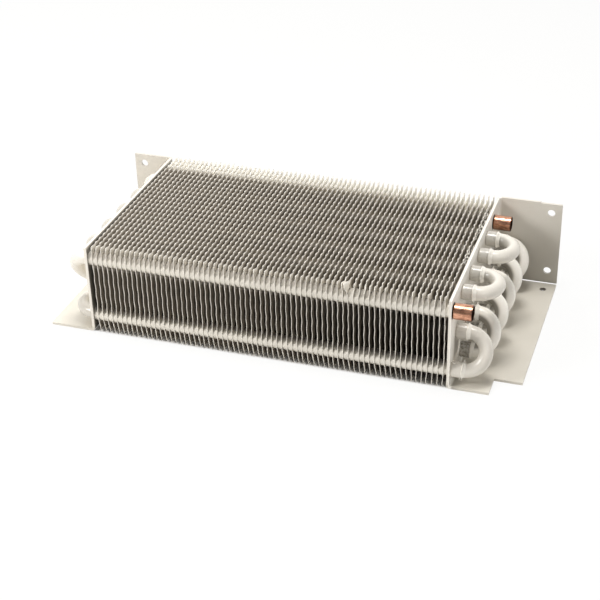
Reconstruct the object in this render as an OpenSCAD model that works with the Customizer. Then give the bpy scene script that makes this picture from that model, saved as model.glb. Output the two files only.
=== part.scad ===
// Finned tube evaporator coil.
// Hairpin tubes run through a block of rippled fins and two bent end plates. Return bends
// brazed into the belled tube ends join them into one long path with two open stubs.
// X runs along the tubes, Y from front to back, Z up. The origin is on the surface the
// flanges stand on, under the middle of the whole part.

/* [Tubes] */
// Outside diameter of the tube
tube_od = 9.5; // [7:0.1:12]
// Wall of the tube
tube_wall = 0.4; // [0.3:0.05:0.8]
// Distance between neighbouring tubes of one row, front to back
tube_pitch = 25.4; // [22:0.1:32]
// Height from one row of tubes to the next
row_gap = 22; // [19:0.1:28]
// Straight tube between the left end plate and its bends
hairpin_stand = 0; // [0:0.1:6]

/* [Tube ends] */
// Radial gap between a bell and the tube that goes into it
braze_gap = 0.15; // [0.05:0.05:0.2]
// Wall of the belled end
bell_wall = 0.45; // [0.4:0.05:0.8]
// Length of the coated bells outside the right end plate
bell_len = 7.6; // [6:0.1:12]
// Length of the two bare stubs outside the right end plate
stub_len = 12.7; // [10:0.1:30]
// Gap between the end of a return bend and the shoulder inside its bell
seat_gap = 0.1; // [0.1:0.1:1]
// Wall of the return bends
bend_wall = 0.6; // [0.4:0.05:1]
// Width of the braze ring at the mouth of a bell
braze_w = 0.9; // [0.5:0.1:1]
// How far a braze ring stands proud of its bell
braze_proud = 0.2; // [0.1:0.05:0.5]

/* [Fins] */
// Thickness of a coated fin
fin_t = 0.4; // [0.2:0.05:0.6]
// Distance from fin to fin
fin_pitch = 3.58; // [3:0.01:6]
// Height of the ripples, crest to trough
ripple_h = 0.4; // [0.2:0.05:0.6]
// Ripples between neighbouring tubes of a row
ripples = 2; // [1:1:4]
// Wall of the collar that spaces a fin from the next
collar_wall = 0.3; // [0.2:0.05:0.5]
// Height of the underside of the fins over the flanges' underside
fin_lift = 1.2; // [0.5:0.1:5]
// Front and back edges of the end plates beyond the fins
plate_over = 0.4; // [0:0.1:3]
// Width of fin in front of the first tubes
front_land = 0.85; // [0.4:0.05:6]
// Width of fin behind the last tubes
back_land = 2.35; // [0.4:0.05:6]
// How far the fins stand above the end plates
fin_proud = 0.8; // [0:0.1:2]

/* [End plates] */
// Distance between the outer faces of the two end plates
coil_len = 256.7; // [150:0.1:400]
// Thickness of the end plates
plate_t = 1.8; // [1:0.1:3]
// Inside radius of the folds
fold_r = 0.8; // [0.4:0.1:2]
// Width of the right flanges, from the face of the plate
right_flange_w = 45.4; // [40:0.1:80]
// Width of the right bottom flange in front of its notch
strip_w = 26.5; // [10:0.1:35]
// Length of the notch, from the front edge
notch_len = 17.4; // [5:0.1:40]
// Width of the left bottom flange
left_flange_w = 31.6; // [20:0.1:60]
// Width of the left back flange
left_back_w = 29.6; // [20:0.1:60]
// Gap between the back flange and the bottom flange
relief_gap = 0.7; // [0.4:0.1:3]
// Gap behind the bottom flange
rear_gap = 0.2; // [0.1:0.1:1]
// Length of the raised part of the right back flange
raised_len = 30; // [5:0.1:39]
// Height of the raised part of the right back flange
raised_h = 0.6; // [0.2:0.1:3]

/* [Fixing holes] */
// Diameter of the fixing holes in the back flanges
fix_d = 5.5; // [4:0.1:8]
// Distance of a fixing hole from the side edge of its flange
fix_inset = 7.6; // [5:0.1:12]
// Height of the lower fixing holes
fix_low = 12.4; // [8:0.1:16]
// Distance of the upper fixing holes below the top of the flange
fix_top = 7.2; // [5:0.1:20]
// Diameter of the drain hole in the right bottom flange
drain_d = 3.5; // [2:0.1:6]
// Distance of the drain hole from the side edge of the flange
drain_inset = 8.3; // [5:0.1:15]
// Distance of the drain hole in front of the back edge of the end plate
drain_back = 11.3; // [6:0.1:30]

/* [Hidden] */
$fn = 48;
cut = 0.01;

columns = 6;
row_count = 3;
fin_groups = 10;

tube_r = tube_od / 2;
tube_bore_r = tube_r - tube_wall;
bell_bore_r = tube_r + braze_gap;
bell_r = bell_bore_r + bell_wall;
collar_r = tube_r + collar_wall;
bell_cone = 1;
bell_foot = 0.1;
collar_gap = 0.05;

// The middle row sits half a pitch behind the other two
fin_depth = front_land + tube_od + (columns - 0.5) * tube_pitch + back_land;
fin_h = row_count * row_gap;
plate_h = fin_lift + fin_h - fin_proud;
plate_depth = fin_depth + 2 * plate_over;

// End faces of the part and of its plates along X
whole_len = left_flange_w + coil_len + right_flange_w;
left_x = left_flange_w - whole_len / 2;
right_x = left_x + coil_len;
left_inner_x = left_x + plate_t;
right_inner_x = right_x - plate_t;

// Front and back edges
front_y = -plate_depth / 2;
back_y = plate_depth / 2;
fin_front_y = front_y + plate_over;
fin_back_y = back_y - plate_over;

// Rows of tubes: 0 is the bottom row, 1 the middle row, 2 the top row
first_y = fin_front_y + front_land + tube_r;
function tube_y(row, column) = first_y + (column + (row == 1 ? 0.5 : 0)) * tube_pitch;
function tube_z(row) = fin_lift + (row + 0.5) * row_gap;
function tube_at(place) = [tube_y(place[0], place[1]), tube_z(place[0])];
TUBES = [for (row = [0:row_count - 1]) for (column = [0:columns - 1]) [row, column]];

// The path of the refrigerant, as pairs of [row, column]: left ends, then right ends
HAIRPINS = [
  [[2, 0], [1, 0]], [[0, 0], [0, 1]], [[1, 1], [2, 1]],
  [[2, 2], [1, 2]], [[0, 2], [0, 3]], [[1, 3], [2, 3]],
  [[2, 4], [1, 4]], [[0, 4], [0, 5]], [[1, 5], [2, 5]]
];
BENDS = [
  [[1, 0], [0, 0]], [[0, 1], [1, 1]], [[2, 1], [2, 2]], [[1, 2], [0, 2]],
  [[0, 3], [1, 3]], [[2, 3], [2, 4]], [[1, 4], [0, 4]], [[0, 5], [1, 5]]
];
STUBS = [[2, 0], [2, columns - 1]];
function is_stub(place) = place == STUBS[0] || place == STUBS[1];

// Fins: the first collar meets the left end plate
fin_count = floor((coil_len - 2 * plate_t - fin_t - ripple_h) / fin_pitch);
function fin_x(i) = left_inner_x + (i + 1) * fin_pitch;
ripple_half = tube_pitch / ripples / 2;
function ripple_x(y) = ripple_h * (abs(2 * frac((y - first_y) / ripple_half / 2) - 1) - 0.5);
function frac(v) = v - floor(v);
collar_len = fin_pitch - fin_t - ripple_h - collar_gap;

// Start of every bell's cone, mouth of a coated bell, and start of the return bends' turn
bell_start = right_x + bell_foot;
mouth_x = right_x + bell_len;
bend_x = mouth_x + braze_w;

coat = [0.89, 0.87, 0.82];
copper = [0.80, 0.48, 0.33];

// A bar along X, from x0 to x1
module bar(r, x0, x1) {
  translate([x0, 0, 0]) rotate([0, 90, 0]) cylinder(r = r, h = x1 - x0);
}

// Places its children between two tubes, with the tubes at Y = -gap/2 and gap/2
module between(pair) {
  a = tube_at(pair[0]);
  b = tube_at(pair[1]);
  middle = (a + b) / 2;
  translate([0, middle[0], middle[1]])
    rotate([atan2(b[1] - a[1], b[0] - a[0]), 0, 0])
      children();
}
function gap_of(pair) = norm(tube_at(pair[1]) - tube_at(pair[0]));

// Half a turn of round bar that joins two bars; side 1 bulges to +X, side -1 to -X
module half_turn(r, gap, x, side) {
  translate([x, 0, 0])
    rotate([0, 0, -90 * side])
      rotate_extrude(angle = 180) translate([gap / 2, 0]) circle(r = r);
}

// Right end of a hairpin leg: a bell, which is longer on the two bare stubs
function bell_end(place) = is_stub(place) ? right_x + stub_len : mouth_x;

module leg_outer(place, x0) {
  bar(tube_r, x0, bell_start + bell_cone);
  translate([bell_start, 0, 0])
    rotate([0, 90, 0]) cylinder(r1 = tube_r, r2 = bell_r, h = bell_cone);
  bar(bell_r, bell_start + bell_cone, bell_end(place));
}

module leg_inner(place, x0) {
  bar(tube_bore_r, x0, bell_start + bell_cone);
  bar(bell_bore_r, bell_start + bell_cone, bell_end(place) + cut);
}

// A long U of tube, bent at the left end and belled at the right end
module hairpin(i) {
  pair = HAIRPINS[i];
  gap = gap_of(pair);
  turn_x = left_x - hairpin_stand;
  color(is_stub(pair[0]) || is_stub(pair[1]) ? copper : coat)
    between(pair) difference() {
      union() {
        half_turn(tube_r, gap, turn_x, -1);
        translate([0, -gap / 2, 0]) leg_outer(pair[0], turn_x);
        translate([0, gap / 2, 0]) leg_outer(pair[1], turn_x);
      }
      union() {
        half_turn(tube_bore_r, gap, turn_x, -1);
        translate([0, -gap / 2, 0]) leg_inner(pair[0], turn_x);
        translate([0, gap / 2, 0]) leg_inner(pair[1], turn_x);
      }
    }
}

// A short U of tube, whose ends sit inside two bells
module return_bend(i) {
  gap = gap_of(BENDS[i]);
  end_x = bell_start + bell_cone + seat_gap;
  color(coat)
    between(BENDS[i]) difference() {
      union() {
        half_turn(tube_r, gap, bend_x, 1);
        for (side = [-1, 1]) translate([0, side * gap / 2, 0]) bar(tube_r, end_x, bend_x);
      }
      union() {
        half_turn(tube_r - bend_wall, gap, bend_x, 1);
        for (side = [-1, 1])
          translate([0, side * gap / 2, 0]) bar(tube_r - bend_wall, end_x - cut, bend_x);
      }
    }
}

// The bead of braze round each end of a return bend, on the mouth of its bell
module braze_rings(i) {
  gap = gap_of(BENDS[i]);
  bead_r = braze_w / 2;
  color(coat)
    between(BENDS[i])
      for (side = [-1, 1])
        translate([mouth_x, side * gap / 2, 0])
          rotate([0, 90, 0])
            rotate_extrude() intersection() {
              union() {
                square([bell_r + braze_proud - bead_r, braze_w]);
                translate([bell_r + braze_proud - bead_r, bead_r]) circle(r = bead_r, $fn = 24);
              }
              translate([tube_r, 0]) square([bell_r + braze_proud, braze_w]);
            }
}

// One rippled fin with a collar round every tube
module fin() {
  first = ceil((fin_front_y - first_y) / ripple_half + 0.01);
  last = floor((fin_back_y - first_y) / ripple_half - 0.01);
  ys = concat(
    [fin_front_y], [for (k = [first:last]) first_y + k * ripple_half], [fin_back_y]
  );
  n = len(ys);
  difference() {
    union() {
      translate([0, 0, fin_lift])
        linear_extrude(height = fin_h)
          polygon(concat(
            [for (k = [0:n - 1]) [ripple_x(ys[k]) + fin_t / 2, ys[k]]],
            [for (k = [n - 1:-1:0]) [ripple_x(ys[k]) - fin_t / 2, ys[k]]]
          ));
      for (place = TUBES) at_tube(place) bar(collar_r, -collar_len, 0);
    }
    for (place = TUBES) at_tube(place) bar(tube_r, -fin_pitch, fin_pitch);
  }
}

module at_tube(place) {
  translate([0, tube_y(place[0], place[1]), tube_z(place[0])]) children();
}

// A share of the fins, from the left: each is a separate sheet
module fins(group) {
  first = floor(group * fin_count / fin_groups);
  last = floor((group + 1) * fin_count / fin_groups) - 1;
  color(coat)
    for (i = [first:last]) translate([fin_x(i), 0, 0]) fin();
}

// A quarter bend of sheet in the plane, from the -X side to the -Y side of its centre
module fold_section() {
  intersection() {
    difference() {
      circle(r = fold_r + plate_t);
      circle(r = fold_r);
    }
    translate([-fold_r - plate_t, -fold_r - plate_t]) square(fold_r + plate_t);
  }
}

// A sheet with an upright web, a bottom flange and a back flange, both towards +X.
// The face of the web is at X = 0.
module bent_sheet(bottom_w, back_w) {
  bend = plate_t + fold_r;
  translate([-plate_t, front_y, bend]) cube([plate_t, plate_depth - bend, plate_h - bend]);
  // Bottom fold and flange
  translate([fold_r, back_y - bend, bend])
    rotate([90, 0, 0]) linear_extrude(height = plate_depth - bend) fold_section();
  translate([fold_r, front_y, 0])
    cube([bottom_w - fold_r, plate_depth - plate_t - rear_gap, plate_t]);
  // Back fold and flange
  translate([fold_r, back_y - bend, bend])
    linear_extrude(height = plate_h - bend) mirror([0, 1]) fold_section();
  translate([fold_r, back_y - plate_t, plate_t + relief_gap])
    cube([back_w - fold_r, plate_t, plate_h - plate_t - relief_gap]);
}

// Two fixing holes through a back flange, at x from the face of the web
module fixing_holes(x) {
  for (z = [fix_low, plate_h - fix_top])
    translate([x, back_y + cut, z]) rotate([90, 0, 0]) cylinder(d = fix_d, h = plate_t + 2 * cut);
}

module right_end_plate() {
  color(coat)
    difference() {
      translate([right_x, 0, 0]) union() {
        bent_sheet(right_flange_w, right_flange_w);
        translate([fold_r, back_y - plate_t, plate_h - cut])
          cube([raised_len - fold_r, plate_t, raised_h + cut]);
      }
      translate([right_x + strip_w, front_y - cut, -cut])
        cube([right_flange_w, notch_len + cut, plate_t + 2 * cut]);
      translate([right_x, 0, 0]) fixing_holes(right_flange_w - fix_inset);
      translate([right_x + right_flange_w - drain_inset, back_y - drain_back, -cut])
        cylinder(d = drain_d, h = plate_t + 2 * cut);
      for (place = TUBES) at_tube(place) bar(tube_r, right_inner_x - cut, right_x + cut);
    }
}

module left_end_plate() {
  color(coat)
    difference() {
      translate([left_x, 0, 0]) mirror([1, 0, 0]) bent_sheet(left_flange_w, left_back_w);
      translate([left_x, 0, 0]) mirror([1, 0, 0]) fixing_holes(left_back_w - fix_inset);
      for (place = TUBES) at_tube(place) bar(tube_r, left_x - cut, left_inner_x + cut);
    }
}

right_end_plate();
left_end_plate();
hairpin(0);  // hairpin_1
hairpin(1);  // hairpin_2
hairpin(2);  // hairpin_3
hairpin(3);  // hairpin_4
hairpin(4);  // hairpin_5
hairpin(5);  // hairpin_6
hairpin(6);  // hairpin_7
hairpin(7);  // hairpin_8
hairpin(8);  // hairpin_9
return_bend(0);  // return_bend_1
return_bend(1);  // return_bend_2
return_bend(2);  // return_bend_3
return_bend(3);  // return_bend_4
return_bend(4);  // return_bend_5
return_bend(5);  // return_bend_6
return_bend(6);  // return_bend_7
return_bend(7);  // return_bend_8
braze_rings(0);  // braze_rings_1
braze_rings(1);  // braze_rings_2
braze_rings(2);  // braze_rings_3
braze_rings(3);  // braze_rings_4
braze_rings(4);  // braze_rings_5
braze_rings(5);  // braze_rings_6
braze_rings(6);  // braze_rings_7
braze_rings(7);  // braze_rings_8
fins(0);  // fins_01
fins(1);  // fins_02
fins(2);  // fins_03
fins(3);  // fins_04
fins(4);  // fins_05
fins(5);  // fins_06
fins(6);  // fins_07
fins(7);  // fins_08
fins(8);  // fins_09
fins(9);  // fins_10
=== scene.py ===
import math
import random

import bmesh
import bpy
from mathutils import Matrix, Vector, noise


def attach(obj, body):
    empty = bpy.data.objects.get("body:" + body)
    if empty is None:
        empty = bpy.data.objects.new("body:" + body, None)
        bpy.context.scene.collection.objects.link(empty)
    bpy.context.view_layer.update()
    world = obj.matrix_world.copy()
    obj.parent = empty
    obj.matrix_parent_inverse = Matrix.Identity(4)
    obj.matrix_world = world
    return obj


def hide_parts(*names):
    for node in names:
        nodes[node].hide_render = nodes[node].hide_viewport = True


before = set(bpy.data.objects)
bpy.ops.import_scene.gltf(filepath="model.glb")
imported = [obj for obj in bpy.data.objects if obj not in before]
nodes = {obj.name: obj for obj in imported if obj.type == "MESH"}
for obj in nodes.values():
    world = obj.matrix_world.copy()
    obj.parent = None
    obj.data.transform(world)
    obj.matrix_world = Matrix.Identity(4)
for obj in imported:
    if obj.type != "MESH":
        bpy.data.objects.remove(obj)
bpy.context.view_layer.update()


# Camera. It stands before the right half of the coil and looks down on it, as the photo was taken.
# The place, the turn and the lens come from 38 points of the photo fitted with a pinhole camera.
stand_at = Vector((0.27635, -0.8128, 0.5135))
turn = math.radians(19.18)
tilt = math.radians(30.69)
cant = math.radians(-1.56)
ahead = Vector((-math.sin(turn) * math.cos(tilt), math.cos(turn) * math.cos(tilt), -math.sin(tilt)))
level = Vector((math.cos(turn), math.sin(turn), 0))
upright = level.cross(ahead)
sideways = level * math.cos(cant) + upright * math.sin(cant)
upward = upright * math.cos(cant) - level * math.sin(cant)
turned = Matrix((sideways, upward, -ahead)).transposed().to_4x4()

lens = bpy.data.cameras.new("photo_lens")
lens.lens = 82.9
lens.sensor_width = 36
lens.clip_end = 50
camera = bpy.data.objects.new("photo_camera", lens)
camera.matrix_world = Matrix.Translation(stand_at) @ turned
bpy.context.collection.objects.link(camera)
bpy.context.scene.camera = camera
bpy.context.scene.view_settings.view_transform = "Standard"


# Floor. A wide pale sheet lies under the coil, lit so strongly that it shows white with a little of
# the coil's shadow. Its finish is the first, so the helpers stand here: Finish holds the nodes of one
# material, and Shade one socket of them, so that sums on it read as plain ones.
class Shade:
    def __init__(self, finish, socket):
        self.finish = finish
        self.socket = socket

    def __add__(self, other):
        return self.finish.sum("ADD", self, other)

    def __sub__(self, other):
        return self.finish.sum("SUBTRACT", self, other)

    def __rsub__(self, other):
        return self.finish.sum("SUBTRACT", other, self)

    def __mul__(self, other):
        return self.finish.sum("MULTIPLY", self, other)

    __radd__ = __add__
    __rmul__ = __mul__


class Finish:
    def __init__(self, name, gloss, sheen_level=0.5):
        self.material = bpy.data.materials.new(name)
        self.material.use_nodes = True
        self.tree = self.material.node_tree
        self.surface = self.tree.nodes["Principled BSDF"]
        self.surface.inputs["Roughness"].default_value = gloss
        self.surface.inputs["Specular IOR Level"].default_value = sheen_level

    def node(self, kind, settings, inputs, output=0):
        made = self.tree.nodes.new(kind)
        for key, value in settings.items():
            setattr(made, key, value)
        for key, value in inputs.items():
            if isinstance(value, Shade):
                self.tree.links.new(value.socket, made.inputs[key])
            else:
                made.inputs[key].default_value = value
        return Shade(self, made.outputs[output])

    def sum(self, kind, first, second):
        return self.node("ShaderNodeMath", {"operation": kind}, {0: first, 1: second})

    def more(self, first, second):
        return self.sum("MAXIMUM", first, second)

    def wrap(self, value, half):
        return self.node("ShaderNodeMath", {"operation": "WRAP"}, {0: value, 1: half, 2: -half})

    def place(self):
        return self.node("ShaderNodeTexCoord", {}, {}, "Object")

    def axes(self):
        return [self.node("ShaderNodeSeparateXYZ", {}, {"Vector": self.place()}, name) for name in "XYZ"]

    def fade(self, value, start, end, low=0.0, high=1.0):
        settings = {"interpolation_type": "SMOOTHSTEP"}
        inputs = {"Value": value, 1: start, 2: end, 3: low, 4: high}
        return self.node("ShaderNodeMapRange", settings, inputs)

    def band(self, value, start, full, last, end):
        return self.fade(value, start, full) * self.fade(value, end, last)

    def reach(self, across, along, middle_across, middle_along):
        a = across - middle_across
        b = along - middle_along
        return self.sum("POWER", a * a + b * b, 0.5)

    def grain(self, scale, detail=2.0, stretch=(1.0, 1.0, 1.0)):
        where = self.node("ShaderNodeMapping", {}, {"Vector": self.place(), "Scale": stretch})
        inputs = {"Vector": where, "Scale": scale, "Detail": detail, "Roughness": 0.55}
        return self.node("ShaderNodeTexNoise", {}, inputs)

    def tint(self, share, under, over):
        inputs = {0: share, 6: under, 7: over}
        return self.node("ShaderNodeMix", {"data_type": "RGBA"}, inputs, 2)

    def feed(self, **sockets):
        for name, value in sockets.items():
            target = self.surface.inputs[name.replace("_", " ")]
            self.tree.links.new(value.socket, target)

    def relief(self, height, depth):
        inputs = {"Strength": 1.0, "Distance": depth, "Height": height}
        self.feed(Normal=self.node("ShaderNodeBump", {}, inputs))


mm = 0.001
sheet_half = 8
own_white = 0.86
sheet = bmesh.new()
bmesh.ops.create_grid(sheet, x_segments=2, y_segments=2, size=sheet_half)
floor_mesh = bpy.data.meshes.new("floor")
sheet.to_mesh(floor_mesh)
sheet.free()
floor = bpy.data.objects.new("floor", floor_mesh)
bpy.context.collection.objects.link(floor)

paper = Finish("white_paper", 0.9, sheen_level=0.1)
paper.surface.inputs["Base Color"].default_value = (0.82, 0.81, 0.79, 1)
rays = paper.tree.nodes.new("ShaderNodeLightPath")
camera_ray, glossy_ray, clear_ray = (
    Shade(paper, rays.outputs[f"Is {kind} Ray"]) for kind in ("Camera", "Glossy", "Transmission")
)
seen = paper.more(paper.more(camera_ray, glossy_ray), clear_ray)
white = paper.tree.nodes.new("ShaderNodeEmission")
white.inputs["Strength"].default_value = 1.0
white.inputs["Color"].default_value = (1.0, 1.0, 0.995, 1)
blend = paper.tree.nodes.new("ShaderNodeMixShader")
right_of, depth, _ = paper.axes()
along = paper.sum("ABSOLUTE", right_of, 0)
across = paper.sum("ABSOLUTE", depth, 0)
under = paper.fade(along, 135.2 * mm, 134.2 * mm) * paper.fade(across, 77.2 * mm, 75.2 * mm)
paper.tree.links.new((seen * own_white * (1 - under)).socket, blend.inputs[0])
paper.tree.links.new(paper.surface.outputs[0], blend.inputs[1])
paper.tree.links.new(white.outputs[0], blend.inputs[2])
paper.tree.links.new(blend.outputs[0], paper.tree.nodes["Material Output"].inputs["Surface"])
floor_mesh.materials.append(paper.material)


# Light. The coil stood in a white tent that is brighter behind it and at its right, with two soft
# lamps at the left, one above and a small one at the right. The shares were fitted to the photo.
room = bpy.data.worlds.new("white_tent")
bpy.context.scene.world = room
room.use_nodes = True
tent = room.node_tree
heading = tent.nodes.new("ShaderNodeTexCoord")
parts = tent.nodes.new("ShaderNodeSeparateXYZ")
tent.links.new(heading.outputs["Generated"], parts.inputs[0])
glow = tent.nodes.new("ShaderNodeValue").outputs[0]
glow.default_value = 0.18
for side, share in (("X", 0.32), ("Y", 0.95)):
    facing = tent.nodes.new("ShaderNodeMath")
    facing.operation = "MAXIMUM"
    facing.inputs[1].default_value = 0.0
    tent.links.new(parts.outputs[side], facing.inputs[0])
    gain = tent.nodes.new("ShaderNodeMath")
    gain.operation = "MULTIPLY_ADD"
    gain.inputs[1].default_value = share
    tent.links.new(facing.outputs[0], gain.inputs[0])
    tent.links.new(glow, gain.inputs[2])
    glow = gain.outputs[0]
tent.nodes["Background"].inputs["Color"].default_value = (1, 1, 1, 1)
tent.links.new(glow, tent.nodes["Background"].inputs["Strength"])

aim = Vector((0, 0, 0.03))
for name, place, side, watts in (
    ("lamp_left_back", (-0.8, 0.6, 0.9), 0.8, 2.0),
    ("lamp_left_front", (-0.9, -0.7, 0.8), 0.45, 12.2),
    ("lamp_above", (0.0, 0.0, 1.3), 0.4, 10.8),
    ("lamp_right_small", (0.75, -0.9, 0.75), 0.2, 1.2),
):
    shape = bpy.data.lights.new(name, "AREA")
    shape.size = side
    shape.energy = watts
    lamp = bpy.data.objects.new(name, shape)
    lamp.location = place
    lamp.rotation_euler = (aim - Vector(place)).to_track_quat("-Z", "Y").to_euler()
    bpy.context.collection.objects.link(lamp)


# Fins. Seventy thin aluminium sheets, rippled by the press, each with eighteen holes that are drawn
# out into collars. The collars point left and space the fins, and the lacquer stands on the edges.
tube_pitch = 25.4 * mm
half_pitch = 12.7 * mm
low_row = 12.2 * mm
middle_row = 34.2 * mm
top_row = 56.2 * mm
front_tube = -70.6 * mm
fin_pitch = 3.58 * mm
fin_sheet = 0.4 * mm
fin_low = 1.2 * mm
fin_high = 67.16 * mm
fin_half = 76.2 * mm
first_fin = -129.87 * mm
ripple = 6.35 * mm
crest_shift = 0.8375 * mm
front_strip = 75.8 * mm
strip_set_back = 0.3 * mm
slug_radius = 5.8 * mm
rim_within = 8.5 * mm
fin_columns = 96
fin_rows = 24
# Outline of a collar: radius, and how far it stands out to the left of its fin, in mm
collar_outline = ((5.8, 0.0), (5.04, 0.5), (5.04, 3.5))
tube_places = [
    (first_across + column * tube_pitch, up)
    for first_across, up in ((front_tube, low_row), (-57.9 * mm, middle_row), (front_tube, top_row))
    for column in range(6)
]


def ease(value, start, end):
    share = min(1.0, max(0.0, (value - start) / (end - start)))
    return share * share * (3 - 2 * share)


def punched_fin():
    blank = bmesh.new()
    bmesh.ops.create_grid(blank, x_segments=fin_columns, y_segments=fin_rows, size=0.5)
    stand = Matrix((
        (0, 0, 1, 0),
        (2 * fin_half, 0, 0, 0),
        (0, fin_high - fin_low, 0, (fin_high + fin_low) / 2),
        (0, 0, 0, 1),
    ))
    bmesh.ops.transform(blank, matrix=stand, verts=blank.verts)
    for point in blank.verts:
        if abs(point.co.y) < front_strip:
            point.co.y += crest_shift
        elif point.co.y < 0:
            beside = min(abs(point.co.z - low_row), abs(point.co.z - top_row))
            point.co.y += strip_set_back * (1 - ease(beside, 2.0 * mm, 5.5 * mm))
    for across, up in tube_places:
        middle = Vector((0, across, up))
        near = [f for f in blank.faces if (f.calc_center_median() - middle).length < slug_radius]
        slug = [f for f in near if all(abs(v.co.y) < front_strip for v in f.verts)]
        bmesh.ops.delete(blank, geom=slug, context="FACES")
    for across, up in tube_places:
        middle = Vector((0, across, up))
        near = [e for e in blank.edges if e.is_boundary and (e.verts[0].co - middle).length < rim_within]
        rim = [e for e in near if min(abs(v.co.y) for v in e.verts) < front_strip]
        ring = {v for e in rim for v in e.verts}
        ring = sorted(ring, key=lambda v: math.atan2(v.co.z - up, v.co.y - across))
        for step, point in enumerate(ring):
            angle = -math.pi + (step + 0.5) * 2 * math.pi / len(ring)
            point.co = middle + Vector((0, math.cos(angle), math.sin(angle))) * collar_outline[0][0] * mm
            point.co.y = max(point.co.y, -front_strip)
        for radius, out in collar_outline[1:]:
            drawn = bmesh.ops.extrude_edge_only(blank, edges=rim)["geom"]
            points = [g for g in drawn if isinstance(g, bmesh.types.BMVert)]
            for point in points:
                outward = Vector((0, point.co.y - across, point.co.z - up)).normalized()
                point.co = middle + outward * radius * mm - Vector((out * mm, 0, 0))
                point.co.y = max(point.co.y, -front_strip)
            rim = [g for g in drawn if isinstance(g, bmesh.types.BMEdge) and g.is_boundary]
    bmesh.ops.recalc_face_normals(blank, faces=blank.faces)
    for face in blank.faces:
        face.smooth = True
        face.material_index = 1 if face.calc_center_median().x < -0.1 * mm else 0
    pressed = bpy.data.meshes.new("pressed_fin")
    blank.to_mesh(pressed)
    blank.free()
    return pressed


lacquer = (0.79, 0.745, 0.665, 1)
# The next two, paler lacquers are painted light
lacquer_lit = (0.90, 0.86, 0.78, 1)
lacquer_lit_from_behind = (0.90, 0.865, 0.79, 1)
lacquer_dull = (0.70, 0.65, 0.565, 1)
lacquer_shaded = (0.45, 0.42, 0.365, 1)
# Colours of the fin faces: a thin coat, painted dark as the shade deep between the fins
fin_face_shade = (0.315, 0.273, 0.217, 1)
fin_face_deep_shade = (0.19, 0.162, 0.127, 1)
fin_face_lit_high = (0.62, 0.57, 0.49, 1)
shade_between_fins = (0.06, 0.05, 0.04, 1)

fin_coat = Finish("lacquered_fin", 0.34)
right_of, depth, height = fin_coat.axes()
# The fin faces are painted dark as the shade between the fins. The lips and the curled fin keep the
# lacquer's colour, and the rear strip and the faces round the top tubes get painted light
crest = fin_coat.sum("COSINE", (depth + 67.425 * mm) * (2 * math.pi / ripple), 0)
between = fin_coat.fade(crest, 0.8, -0.3)
lip = fin_coat.fade(height - between * 0.65 * mm, 66.0 * mm, 66.9 * mm)
lip = fin_coat.more(lip, fin_coat.fade(height, 2.3 * mm, 1.5 * mm))
lip = fin_coat.more(lip, fin_coat.fade(depth, -75.2 * mm, -75.8 * mm))
# Painted light and reflection on the rear strip, where the light behind the coil reaches in between the
# fins
lit_rear_strip = fin_coat.fade(depth, 56 * mm, 62 * mm)
# Painted light on the faces round the top tubes and in the top front corner
from_tube = fin_coat.reach(fin_coat.wrap(depth - front_tube, half_pitch), height, 0, top_row)
round_top = fin_coat.fade(from_tube, 8.0 * mm, 6.4 * mm) * 0.9
corner = fin_coat.fade(depth, -65 * mm, -70 * mm) * fin_coat.fade(height, 53 * mm, 57 * mm)
lit_round_top_tubes = fin_coat.more(round_top, corner) * 0.6
beside_curl = fin_coat.sum("ABSOLUTE", right_of - 51.2 * mm, 0)
curl = fin_coat.fade(beside_curl, 2.9 * mm, 2.2 * mm) * fin_coat.fade(depth, -67 * mm, -70.5 * mm)
curl = curl * fin_coat.fade(height, 60 * mm, 62.5 * mm)
# Painted shade on the fin faces: darker at random, a little lighter high up as painted light, and darker
# low towards the right
aloft = fin_coat.fade(height, 50 * mm, 62 * mm)
right_front = fin_coat.fade(right_of, -20 * mm, 110 * mm) * (1 - aloft)
shaded_thin_coat = fin_coat.tint(fin_coat.grain(260, 3), fin_face_shade, fin_face_deep_shade)
shaded_thin_coat = fin_coat.tint(aloft * 0.12, shaded_thin_coat, fin_face_lit_high)
shaded_thin_coat = fin_coat.tint(right_front * 0.66, shaded_thin_coat, shade_between_fins)
edge_coat = fin_coat.tint(lit_rear_strip, lacquer, lacquer_lit_from_behind)
out_of_shade = fin_coat.more(fin_coat.more(lip, lit_rear_strip), fin_coat.more(lit_round_top_tubes, curl))
fin_coat.feed(Base_Color=fin_coat.tint(out_of_shade, shaded_thin_coat, edge_coat))
fin_coat.relief(fin_coat.grain(900), 0.06 * mm)

collar_coat = Finish("collar_coat", 0.42)
right_of, depth, height = collar_coat.axes()
skin = collar_coat.tint(collar_coat.grain(420, 3), lacquer, lacquer_dull)
# Painted light on the collars, more towards the right end and on the tops of the top row
lit_collars = collar_coat.fade(right_of, 0, 110 * mm)
lit_collars = collar_coat.more(lit_collars, collar_coat.fade(height, 58 * mm, 61 * mm))
skin = collar_coat.tint(lit_collars * 0.6, skin, lacquer_lit)
# Painted shade on the front collars, more towards the right and higher up
on_front = collar_coat.fade(depth, -66 * mm, -70 * mm)
front_collar_shade = collar_coat.fade(right_of, -120 * mm, 110 * mm, 0.3, 0.6)
front_collar_shade = front_collar_shade * collar_coat.fade(height, 30 * mm, 45 * mm, 0.65, 1.0)
collar_coat.feed(Base_Color=collar_coat.tint(on_front * front_collar_shade, skin, lacquer_shaded))
collar_coat.relief(collar_coat.grain(1100), 0.05 * mm)

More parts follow.
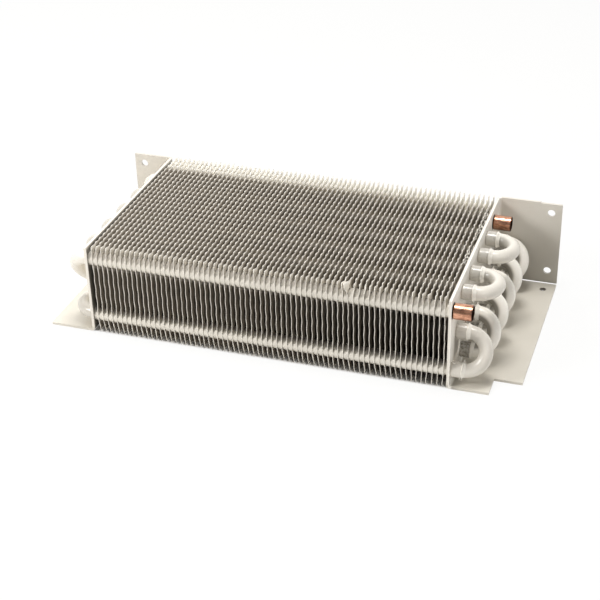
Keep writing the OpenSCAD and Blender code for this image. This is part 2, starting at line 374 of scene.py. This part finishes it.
# Bent fins: the fin, counted from 0 at the left, height and depth of the blow's middle, how far it
# reached, and how far it pushed, in mm
knocks = (
    (49, 67.2, -76.2, 5.0, -0.3),
    (50, 67.2, -76.2, 6.0, -1.1),
    (51, 67.2, -76.2, 9.0, -3.2),
    (52, 64.5, -74.0, 5.5, 0.9),
    (53, 64.5, -75.0, 6.0, 1.2),
    (54, 66.5, -76.2, 5.5, 1.5),
    (55, 66.0, -76.2, 6.0, 0.4),
    (33, 67.2, -76.2, 7.0, -0.8),
    (64, 67.2, -76.2, 7.0, 0.5),
    (65, 67.2, -76.2, 8.0, -0.8),
    (66, 67.2, -76.2, 7.0, -1.1),
    (67, 66.0, -74.0, 7.0, 0.9),
    (68, 60.0, -76.2, 9.0, 0.8),
    (69, 67.2, -76.2, 6.0, -0.7),
)
# Ripples of the press across the fin, and the slower wave down its front and back edges, in mm
ripple_push = 0.50
wave_length = 11.3
wave_from = 20.6
wave_mean = 0.19
wave_less_at_right = 0.02
wave_spread = 0.06
phase_spread = 0.8
# A fin's own errors: how far it leans, and how far its low corners are pushed, in mm
lean_spread = 0.25
foot_push = 0.7
foot_pull_at_right = 1.5
foot_spread = 0.25
fins_in_stack = 7
pressed = punched_fin()
chance = random.Random(70)
wander = [chance.uniform(-1, 1) for _ in range(90)]
for group in range(10):
    stack = bmesh.new()
    for number in range(group * fins_in_stack, (group + 1) * fins_in_stack):
        count = len(stack.verts)
        stack.from_mesh(pressed)
        stack.verts.ensure_lookup_table()
        drift = (wander[number] + wander[number + 1] + wander[number + 2]) / 3
        near_end = ease(number, 40, 69)
        foot = foot_push - foot_pull_at_right * ease(number, 60, 67)
        foot += (wander[number + 5] + wander[number + 6]) * foot_spread
        lean = lean_spread * drift
        wave_phase = phase_spread * wander[number + 9]
        wave_height = wave_mean - wave_less_at_right * near_end + wave_spread * drift
        blows = [k for k in knocks if k[0] == number]
        for point in stack.verts[count:]:
            across = point.co.y / mm
            up = point.co.z / mm
            gap = min(math.hypot(across - a / mm, up - u / mm) for a, u in tube_places)
            free = ease(gap, 5.6, 8.5)
            push = ripple_push * math.cos(2 * math.pi * (point.co.y - front_tube) / ripple) * free
            edge = ease(across, -62.0, -76.0) + ease(across, 62.0, 76.0)
            wave = math.sin(2 * math.pi * (up - wave_from) / wave_length + wave_phase)
            push += wave_height * edge * wave * (0.35 + 0.65 * free)
            push += lean * (up - middle_row / mm) / 33.0
            push += foot * ease(up, 11.0, 1.2) * ease(abs(across), 30.0, 76.0)
            for _, blow_up, blow_across, blow_reach, shove in blows:
                away = math.hypot(across - blow_across, up - blow_up)
                push += shove * (1 - ease(away, 0.0, blow_reach))
            point.co.x += first_fin + number * fin_pitch + push * mm
    name = f"fin_stack_{group + 1:02d}"
    mesh = bpy.data.meshes.new(name)
    stack.to_mesh(mesh)
    stack.free()
    mesh.materials.append(fin_coat.material)
    mesh.materials.append(collar_coat.material)
    fins = bpy.data.objects.new(name, mesh)
    bpy.context.collection.objects.link(fins)
    wall = fins.modifiers.new("sheet", "SOLIDIFY")
    wall.thickness = fin_sheet
    wall.offset = 0
    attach(fins, "root")
    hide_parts(f"fins_{group + 1:02d}")
bpy.data.meshes.remove(pressed)


# End plates. Two bent steel sheets, each folded out into a back flange and a bottom flange with
# fixing holes. The tubes are expanded into them, and the dip lacquer covers both sides.
lacquer_light = (0.86, 0.815, 0.73, 1)
web_painted_light = (0.96, 0.925, 0.86, 1)
lacquer_grey = (0.47, 0.44, 0.385, 1)
flange_shade = (0.63, 0.59, 0.51, 1)
left_flange_shade = (0.55, 0.51, 0.44, 1)
half_shade = (0.36, 0.335, 0.285, 1)
fold_shade = (0.30, 0.28, 0.24, 1)
bell_shade = (0.33, 0.305, 0.26, 1)
deep_shade = (0.10, 0.09, 0.07, 1)
shade_black = (0.07, 0.055, 0.04, 1)
stub_places = (front_tube, 56.4 * mm)
drain_right, drain_depth = 158.55 * mm, 65.3 * mm

plate_coat = Finish("plate_lacquer", 0.38)
right_of, depth, height = plate_coat.axes()
cloud = plate_coat.fade(plate_coat.grain(28, 3), 0.35, 0.7)
fleck = plate_coat.fade(plate_coat.grain(1500, 2), 0.62, 0.74)
drag = plate_coat.grain(60, 4, (1.0, 1.0, 0.12))
skin = plate_coat.tint(cloud * 0.45, lacquer, lacquer_dull)
skin = plate_coat.tint(plate_coat.fade(drag, 0.5, 0.8) * 0.25, skin, lacquer_light)
skin = plate_coat.tint(fleck * 0.22, skin, lacquer_grey)

# The bottom flanges are painted in shade: darker all over, darker still far back on the right one, and
# black round the drain hole as the hole's shadow
flat = plate_coat.fade(height, 4.0 * mm, 2.4 * mm)
skin = plate_coat.tint(flat * (0.75 + cloud * 0.25), skin, flange_shade)
right_of_face = plate_coat.fade(right_of, 121 * mm, 124 * mm)
far_flat = flat * plate_coat.fade(depth, 52 * mm, 73 * mm) * right_of_face
skin = plate_coat.tint(far_flat * 0.55, skin, half_shade)
from_drain = plate_coat.reach(right_of, depth, drain_right, drain_depth)
skin = plate_coat.tint(plate_coat.fade(from_drain, 2.6 * mm, 2.1 * mm) * 0.9, skin, shade_black)

# The back flanges are painted in shade: the left one evenly, the right one more towards its low end
back = plate_coat.fade(depth, 74.0 * mm, 74.7 * mm)
left_back = back * plate_coat.fade(right_of, -120 * mm, -130 * mm)
low_back = plate_coat.fade(height - right_of * 0.5, 0 * mm, -62 * mm)
skin = plate_coat.tint(left_back * 0.55, skin, left_flange_shade)
skin = plate_coat.tint(back * (1 - left_back) * (0.2 + low_back * 0.6), skin, half_shade)

# Shade in the right plate's fold, under the front bend
fold = plate_coat.band(right_of, 121 * mm, 121.2 * mm, 122.5 * mm, 130 * mm)
fold = fold * plate_coat.fade(depth, -50 * mm, -60 * mm) * plate_coat.fade(height, 11 * mm, 6 * mm)
skin = plate_coat.tint(fold * 0.65, skin, fold_shade)

# The right plate's face gets painted light at its ends and its top, and painted shade between the low bells
web_face = plate_coat.band(right_of, 121 * mm, 121.2 * mm, 122 * mm, 124 * mm)
lit_web = plate_coat.fade(depth, -62 * mm, -68 * mm)
lit_web = plate_coat.more(lit_web, plate_coat.fade(depth, 35 * mm, 58 * mm))
lit_web = plate_coat.more(lit_web, plate_coat.fade(height, 57 * mm, 61 * mm))
skin = plate_coat.tint(web_face * lit_web * 0.9, skin, web_painted_light)
low_web = plate_coat.band(depth, -66 * mm, -61 * mm, -52 * mm, -40 * mm)
low_web = low_web * plate_coat.band(height, 14 * mm, 18 * mm, 28 * mm, 36 * mm)
skin = plate_coat.tint(web_face * low_web * 0.75, skin, bell_shade)

# The left plate's inner face, which shows beside the first fin, is painted in deep shade
inner_left = plate_coat.band(right_of, -133.9 * mm, -133.5 * mm, -132 * mm, -125 * mm)
inner_left = inner_left * plate_coat.fade(depth, -76.1 * mm, -75.7 * mm)
inner_left = inner_left * plate_coat.fade(height, 66.9 * mm, 63.6 * mm)
skin = plate_coat.tint(inner_left * 0.92, skin, deep_shade)

# A dark ring round each stub: bare plate where the dip was masked, painted black as the shade of the gap
# round the stub
for across in stub_places:
    round_stub = plate_coat.reach(depth, height, across, top_row)
    shaded_bare_ring = plate_coat.fade(round_stub, 5.9 * mm, 5.5 * mm) * plate_coat.fade(right_of, 120 * mm, 120.5 * mm)
    skin = plate_coat.tint(shaded_bare_ring * 0.9, skin, shade_black)
plate_coat.feed(Base_Color=skin)
plate_coat.feed(Roughness=plate_coat.fade(plate_coat.grain(90, 3), 0.3, 0.7, 0.32, 0.46))
peel = plate_coat.grain(520, 2) * 0.7 + plate_coat.grain(1700, 2) * 0.3
plate_coat.relief(peel, 0.07 * mm)
for name in ("right_end_plate", "left_end_plate"):
    nodes[name].data.materials.clear()
    nodes[name].data.materials.append(plate_coat.material)


# Hairpins and return bends. Soft copper tube under a thick glossy coat: a hairpin goes in from the
# left, its ends are belled at the right, and a short return bend is brazed into each pair of bells.
bell_clear = (0.55, 0.52, 0.46, 1)
inner_bell_shade = (0.15, 0.135, 0.11, 1)
bell_low_shade = (0.24, 0.22, 0.18, 1)
mouth_shade = (0.2, 0.18, 0.15, 1)
bell_pit = (0.12, 0.10, 0.08, 1)
run_light = (0.86, 0.82, 0.74, 1)
hollow_shade = (0.20, 0.185, 0.155, 1)
bend_start = 129.95 * mm


def bell_masks(coat, right_of, depth, height):
    on_bell = coat.band(right_of, 121.1 * mm, 121.9 * mm, 128.6 * mm, 129.1 * mm)
    lowest_front = coat.fade(height, 21 * mm, 19 * mm) * coat.fade(depth, -62 * mm, -64 * mm)
    return on_bell, lowest_front


def from_bends(coat, right_of, aside, above):
    past = right_of - bend_start
    return coat.sum("POWER", past * past + aside * aside + above * above, 0.5)


tube_coat = Finish("tube_lacquer", 0.27)
right_of, depth, height = tube_coat.axes()
on_bell, lowest_front = bell_masks(tube_coat, right_of, depth, height)
cloud = tube_coat.fade(tube_coat.grain(120, 3), 0.35, 0.7)
run = tube_coat.fade(tube_coat.grain(300, 3), 0.45, 0.75)
skin = tube_coat.tint(cloud * 0.4, lacquer, lacquer_dull)
skin = tube_coat.tint(run * 0.2, skin, run_light)

# On the bells the coat is thin and the dark metal shows through it. The inner bells are darker and mottled,
# partly as painted shade, and the bells' low sides and the strip by the mouth get painted shade
inner = tube_coat.fade(height, 50 * mm, 48 * mm) * tube_coat.fade(depth, -52 * mm, -50 * mm)
patch = tube_coat.fade(tube_coat.grain(650, 3), 0.38, 0.62, 0.45, 1.0)
bell_skin = tube_coat.tint(inner * patch, bell_clear, inner_bell_shade)
shaded_low_side = tube_coat.band(height, 48 * mm, 50 * mm, 52.5 * mm, 55.5 * mm)
shaded_low_side = tube_coat.more(shaded_low_side, tube_coat.band(height, 26 * mm, 28 * mm, 30.5 * mm, 33.5 * mm))
bell_skin = tube_coat.tint(shaded_low_side * tube_coat.fade(cloud, 0.0, 0.8, 0.2, 0.5), bell_skin, bell_low_shade)
at_mouth = tube_coat.fade(right_of, 127.2 * mm, 128.9 * mm)
bell_skin = tube_coat.tint(at_mouth * 0.5, bell_skin, mouth_shade)
pit = tube_coat.fade(tube_coat.grain(1300, 1), 0.68, 0.72)
bell_skin = tube_coat.tint(pit * 0.7, bell_skin, bell_pit)

# Painted shade on the hollow sides of the bends at the right, and on the low and far sides of the ones at
# the left
front_bend = tube_coat.fade(depth, -52 * mm, -56 * mm)
low_aside = tube_coat.wrap(depth + 64.25 * mm, half_pitch)
from_low = from_bends(tube_coat, right_of, low_aside, height - 23.2 * mm)
top_aside = tube_coat.wrap(depth + 32.5 * mm, tube_pitch)
from_top = from_bends(tube_coat, right_of, top_aside, height - top_row)
low_hollow = tube_coat.fade(from_low, 14.4 * mm, 11.4 * mm) * (1 - front_bend * 0.6)
hollow = tube_coat.more(low_hollow, tube_coat.fade(from_top, 12.6 * mm, 9.4 * mm))
hollow = hollow * tube_coat.fade(right_of, 129.6 * mm, 130.4 * mm)
left_under = tube_coat.fade(right_of, -132 * mm, -137 * mm)
left_under = left_under * tube_coat.band(height, 27 * mm, 31 * mm, 39 * mm, 45 * mm)
left_top = tube_coat.fade(right_of, -134 * mm, -137 * mm) * (1 - left_under) * 0.35
# Painted shade on the top-row and front bends, and painted light on the other bends outside the hollows
outer_bends = tube_coat.more(tube_coat.fade(height, 42 * mm, 46 * mm), front_bend)
skin = tube_coat.tint(left_under * 0.95 + left_top, skin, half_shade)
skin = tube_coat.tint(hollow * 0.85, skin, hollow_shade)
skin = tube_coat.tint(outer_bends * 0.3, skin, lacquer_grey)
skin = tube_coat.tint((1 - outer_bends) * (1 - hollow) * 0.8, skin, lacquer_lit)
thin = tube_coat.fade(tube_coat.grain(500, 3), 0.25, 0.75, 0.7, 1.0) * (1 - lowest_front * 0.85)
skin = tube_coat.tint(on_bell * thin, skin, bell_skin)
tube_coat.feed(Base_Color=skin)
tube_coat.feed(Roughness=tube_coat.fade(tube_coat.grain(200, 3), 0.3, 0.7, 0.16, 0.28))
tube_coat.relief(tube_coat.grain(330, 3), 0.16 * mm)

copper_light = (0.84, 0.47, 0.31, 1)
copper_line = (0.60, 0.27, 0.165, 1)
copper_tarnish = (0.29, 0.115, 0.07, 1)
copper_low_shade = (0.16, 0.085, 0.05, 1)
copper_rim_shade = (0.20, 0.075, 0.04, 1)
copper_root_shade = (0.14, 0.06, 0.035, 1)
copper_bore_shade = (0.05, 0.02, 0.012, 1)

stub_coat = Finish("stub_copper", 0.3)
right_of, depth, height = stub_coat.axes()
on_bell, lowest_front = bell_masks(stub_coat, right_of, depth, height)
bared = stub_coat.fade(right_of, 121.25 * mm, 121.35 * mm) * stub_coat.fade(height, 46 * mm, 46.5 * mm)
skin = stub_coat.tint(stub_coat.fade(stub_coat.grain(120, 3), 0.35, 0.7) * 0.4, lacquer, lacquer_dull)
skin = stub_coat.tint(on_bell * (0.85 - lowest_front * 0.7), skin, lacquer_grey)
drawn_line = stub_coat.fade(stub_coat.grain(1500, 3, (0.06, 1, 1)), 0.35, 0.65)
tarnish = stub_coat.fade(stub_coat.grain(330, 4, (0.6, 1, 1)), 0.38, 0.64)
# Painted shade on the stubs: the back one's low side, the rim at the open end, the root at the plate and
# the inside of the bores
stub_low_shade = stub_coat.fade(depth, 0, 20 * mm) * 0.6
copper = stub_coat.tint(drawn_line * 0.6, copper_light, copper_line)
copper = stub_coat.tint(tarnish * 0.65, copper, copper_tarnish)
copper = stub_coat.tint(stub_coat.fade(height, 57.5 * mm, 53.5 * mm) * stub_low_shade, copper, copper_low_shade)
copper = stub_coat.tint(stub_coat.fade(right_of, 133.4 * mm, 134.1 * mm) * 0.75, copper, copper_rim_shade)
copper = stub_coat.tint(stub_coat.fade(right_of, 122.6 * mm, 121.6 * mm) * 0.7, copper, copper_root_shade)
inside = 0
for across in stub_places:
    round_stub = stub_coat.reach(depth, height, across, top_row)
    inside = inside + stub_coat.fade(round_stub, 5.1 * mm, 5.0 * mm)
copper = stub_coat.tint(inside * 0.85, copper, copper_bore_shade)
stub_coat.feed(Base_Color=stub_coat.tint(bared, skin, copper))
stub_coat.feed(Metallic=bared)
stub_coat.feed(Roughness=stub_coat.fade(drawn_line, 0.0, 1.0, 0.24, 0.36))
stub_coat.relief(stub_coat.grain(700, 3), 0.05 * mm)

for name, part in nodes.items():
    if name.startswith(("hairpin", "return_bend")):
        bare_end = name in ("hairpin_1", "hairpin_9")
        part.data.materials.clear()
        part.data.materials.append((stub_coat if bare_end else tube_coat).material)


# Braze beads. Filler stands proud round the mouth of every bell and runs out on to the bend, and
# the lacquer hangs over it in a lumpy hood. One piece holds the two beads of a return bend.
bead_middle = 129.5
bend_radius = 12.7
flange_face = 74.75
spin_steps = 56
# Middles of each bend's two bells: depth and height, in mm
bell_mouths = {
    1: ((-57.9, 34.2), (-70.6, 12.2)),
    2: ((-45.2, 12.2), (-32.5, 34.2)),
    3: ((-45.2, 56.2), (-19.8, 56.2)),
    4: ((-7.1, 34.2), (-19.8, 12.2)),
    5: ((5.6, 12.2), (18.3, 34.2)),
    6: ((5.6, 56.2), (31.0, 56.2)),
    7: ((43.7, 34.2), (31.0, 12.2)),
    8: ((56.4, 12.2), (69.1, 34.2)),
}
# Outline of a bead: how far right and how far from the tube's middle, in mm
bead_outline = (
    (128.7, 4.85), (128.7, 5.36), (128.9, 5.62), (129.15, 5.78), (129.4, 5.74),
    (129.75, 5.42), (130.2, 5.10), (130.9, 4.87), (131.8, 4.72), (131.8, 4.50),
)
bead_light = (0.85, 0.81, 0.73, 1)
bead_coat = Finish("bead_lacquer", 0.24)
mottle = bead_coat.fade(bead_coat.grain(600, 3), 0.4, 0.75)
bead_coat.feed(Base_Color=bead_coat.tint(mottle * 0.5, bead_light, lacquer_dull))
bead_coat.relief(bead_coat.grain(900, 3), 0.10 * mm)
for bend, mouths in bell_mouths.items():
    beads = bmesh.new()
    for mouth, (across, up) in enumerate(mouths):
        other = mouths[1 - mouth]
        inward = Vector((0, other[0] - across, other[1] - up)).normalized()
        hub = Vector((bead_middle, across, up))
        count = len(beads.verts)
        outline = bmesh.ops.create_circle(beads, segments=len(bead_outline), radius=1)["verts"]
        for point, (right, out) in zip(outline, bead_outline):
            point.co = Vector((right, across + out, up))
        edges = list({e for v in outline for e in v.link_edges})
        bmesh.ops.spin(
            beads, geom=outline + edges, cent=hub, axis=(1, 0, 0), angle=2 * math.pi,
            steps=spin_steps, use_merge=True,
        )
        beads.verts.ensure_lookup_table()
        for point in beads.verts[count:]:
            arm = point.co - hub
            outward = Vector((0, arm.y, arm.z))
            proud = ease(outward.length, 5.0, 5.6)
            round_it = outward.normalized()
            rough = noise.noise(round_it * 2.6 + Vector((bend + up, 0, 0)))
            fine = noise.noise(round_it * 7.0 + Vector((bend + up + 9, arm.x, 0)))
            outward *= 1 + proud * (0.05 * rough + 0.03 * fine)
            slip = proud * (0.45 * rough + 0.12 * fine)
            past = max(0.0, point.co.x - bend_start / mm)
            along_bend = inward * past * past / (2 * bend_radius)
            point.co = hub + Vector((arm.x + slip, 0, 0)) + outward + along_bend
            point.co.y = min(point.co.y, flange_face)
            point.co *= mm
    bmesh.ops.remove_doubles(beads, verts=beads.verts, dist=0.00001)
    bmesh.ops.recalc_face_normals(beads, faces=beads.faces)
    for face in beads.faces:
        face.smooth = True
    mesh = bpy.data.meshes.new(f"braze_beads_{bend}")
    beads.to_mesh(mesh)
    beads.free()
    mesh.materials.append(bead_coat.material)
    piece = bpy.data.objects.new(f"braze_beads_{bend}", mesh)
    bpy.context.collection.objects.link(piece)
    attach(piece, "root")
    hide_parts(f"braze_rings_{bend}")


# Drips and crumbs. Where the coil hung to drain, the lacquer froze in points and strings on the
# bells, and in crumbs between the last fin and the right plate. They are lumps of hard lacquer.
crumb_high = 67.15 * mm
# Each drip: root, tip, width at the root, and how fast it thins towards the tip, in mm
drips = (
    ((124.0, -59.2, 30.0), (123.8, -64.6, 16.2), 0.72, 0.2),
    ((127.2, -68.6, 16.8), (127.9, -68.0, 21.4), 0.7, 0.9),
    ((124.4, -71.8, 16.6), (122.5, -73.6, 19.4), 0.6, 0.9),
    ((122.2, -73.4, 19.4), (121.8, -74.4, 20.8), 0.6, 0.6),
    ((129.5, -68.2, 17.2), (129.9, -67.4, 19.4), 0.9, 1.3),
    ((126.0, -70.4, 17.2), (126.2, -70.6, 18.5), 0.6, 0.7),
    ((128.4, -72.6, 16.2), (128.5, -73.6, 17.2), 0.7, 0.7),
    ((128.8, -71.2, 7.2), (128.4, -71.4, 3.9), 0.85, 1.1),
    ((127.6, -72.6, 7.6), (127.4, -73.2, 5.4), 0.6, 0.9),
    ((129.5, -71.0, 51.9), (129.6, -71.4, 49.0), 0.6, 0.7),
    ((127.0, -69.0, 17.1), (127.6, -67.6, 18.4), 0.5, 0.8),
    ((129.4, -32.0, 39.2), (129.6, -30.4, 41.8), 0.8, 1.3),
    ((129.5, 18.6, 39.4), (129.9, 19.6, 42.4), 0.8, 1.3),
    ((129.4, 43.9, 29.0), (129.5, 43.6, 26.6), 0.8, 1.2),
    ((129.3, -57.9, 39.4), (129.2, -57.2, 41.4), 0.7, 1.2),
    ((129.3, -45.0, 51.0), (129.1, -45.4, 48.6), 0.8, 1.2),
    ((129.5, 5.8, 51.0), (129.3, 5.4, 49.2), 0.7, 1.2),
    ((129.2, -19.6, 61.3), (129.0, -19.0, 62.9), 0.8, 1.3),
)
# Crumbs beside the right plate: where a run of them starts and ends, in mm, and how many it has
crumb_runs = ((-27.0, -3.0, 34), (-3.0, 22.0, 10), (22.0, 37.0, 20), (37.0, 62.0, 12))
lumps = bmesh.new()
for root, tip, width, thinning in drips:
    drop = bmesh.ops.create_icosphere(lumps, subdivisions=3, radius=1)["verts"]
    stem = Vector(tip) - Vector(root)
    turn_to = stem.to_track_quat("Z", "Y").to_matrix()
    for point in drop:
        share = (point.co.z + 1) / 2
        girth = width * (1 - 0.92 * share) ** thinning
        bend_off = noise.noise(Vector((share * 3, root[1], root[2]))) * 0.25
        down_stem = stem.length * (share * 1.1 - 0.1)
        local = Vector((point.co.x * girth + bend_off, point.co.y * girth, down_stem))
        point.co = (Vector(root) + turn_to @ local) * mm
chance = random.Random(9)
for start, end, count in crumb_runs:
    for _ in range(count):
        crumb = bmesh.ops.create_icosphere(lumps, subdivisions=2, radius=1)["verts"]
        size = chance.uniform(0.28, 0.62)
        right = chance.uniform(117.5, 119.3)
        across = chance.uniform(start, end)
        spot = Vector((right, across, chance.uniform(65.4, 67.0 - size)))
        for point in crumb:
            lumpy = 1 + 0.5 * noise.noise(point.co * 1.3 + spot)
            oval = Vector((point.co.x * 0.8, point.co.y * 1.3, point.co.z))
            point.co = (spot + oval * size * lumpy) * mm
            point.co.z = min(point.co.z, crumb_high)
for face in lumps.faces:
    face.smooth = True
mesh = bpy.data.meshes.new("lacquer_drips")
lumps.to_mesh(mesh)
lumps.free()

drip_light = (0.84, 0.80, 0.73, 1)
drip_singed = (0.22, 0.10, 0.06, 1)
drip_coat = Finish("drip_lacquer", 0.3)
_, depth, height = drip_coat.axes()
speck = drip_coat.fade(drip_coat.grain(900, 2), 0.42, 0.66)
skin = drip_coat.tint(speck * 0.5, drip_light, lacquer_grey)
singed = drip_coat.band(height, 48.6 * mm, 48.8 * mm, 52 * mm, 52.2 * mm)
singed = singed * drip_coat.fade(depth, -69 * mm, -69.5 * mm)
drip_coat.feed(Base_Color=drip_coat.tint(singed, skin, drip_singed))
drip_coat.relief(drip_coat.grain(1200, 2), 0.08 * mm)
mesh.materials.append(drip_coat.material)
piece = bpy.data.objects.new("lacquer_drips", mesh)
bpy.context.collection.objects.link(piece)
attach(piece, "root")
